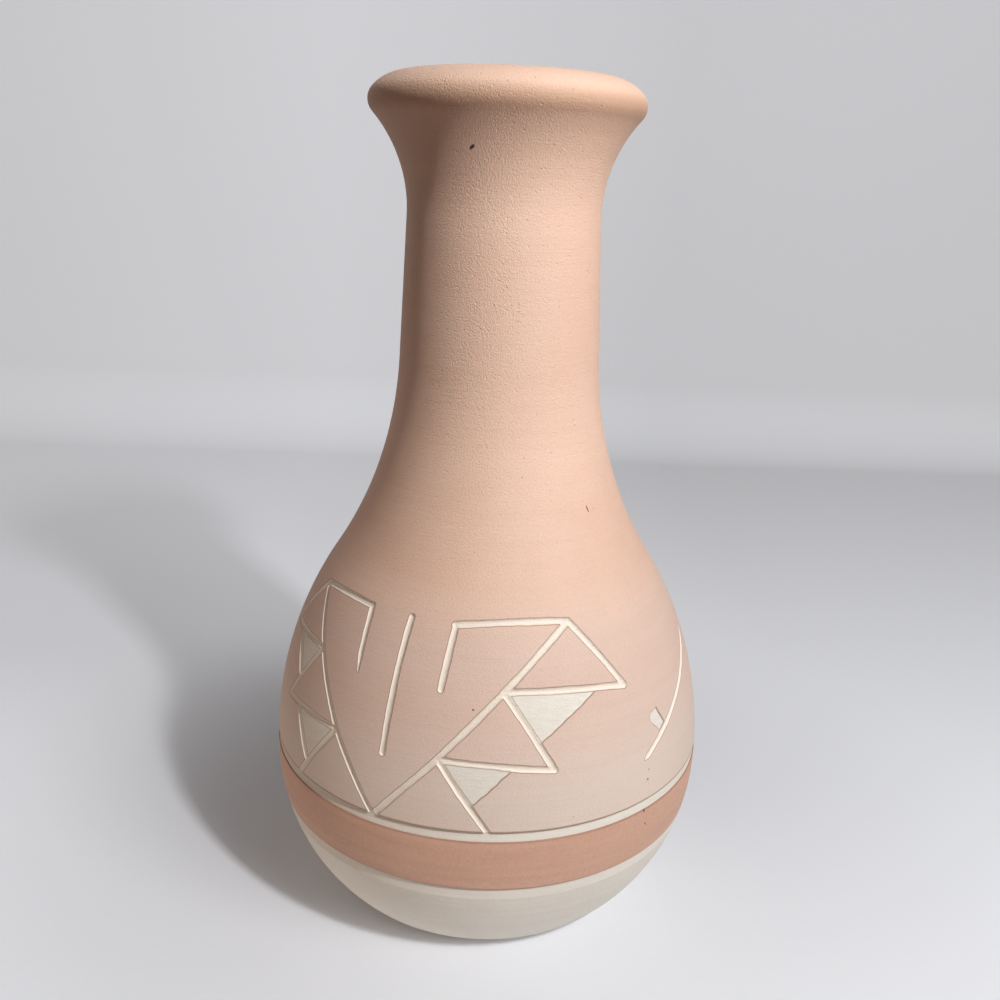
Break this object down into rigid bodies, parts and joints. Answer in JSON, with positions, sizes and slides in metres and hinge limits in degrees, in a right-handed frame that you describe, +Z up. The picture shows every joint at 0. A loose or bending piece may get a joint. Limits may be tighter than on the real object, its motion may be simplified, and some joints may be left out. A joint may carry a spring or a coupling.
{
  "type": "vase",
  "caption": "Long-necked earthenware vase with a round belly, a rolled rim, a matt peach slip coat, a darker band and incised line ornament that shows the pale clay.",
  "frame": {"origin": "centre of the foot on the table plane", "axes": "+Z up along the axis of the vase, -Y towards the front that carries the ornament, +X to the right seen from the front"},
  "size_m": [0.1116, 0.1116, 0.203],
  "materials": {
    "clay": "matt fired cream earthenware",
    "slip": "matt sponged peach slip",
    "band": "matt terracotta slip",
    "glaze": "clear gloss over cream clay"
  },
  "bodies": {
    "root": {"clay_body": "clay", "peach_slip": "slip", "terracotta_band": "band", "inner_glaze": "glaze"}
  },
  "joints": []
}
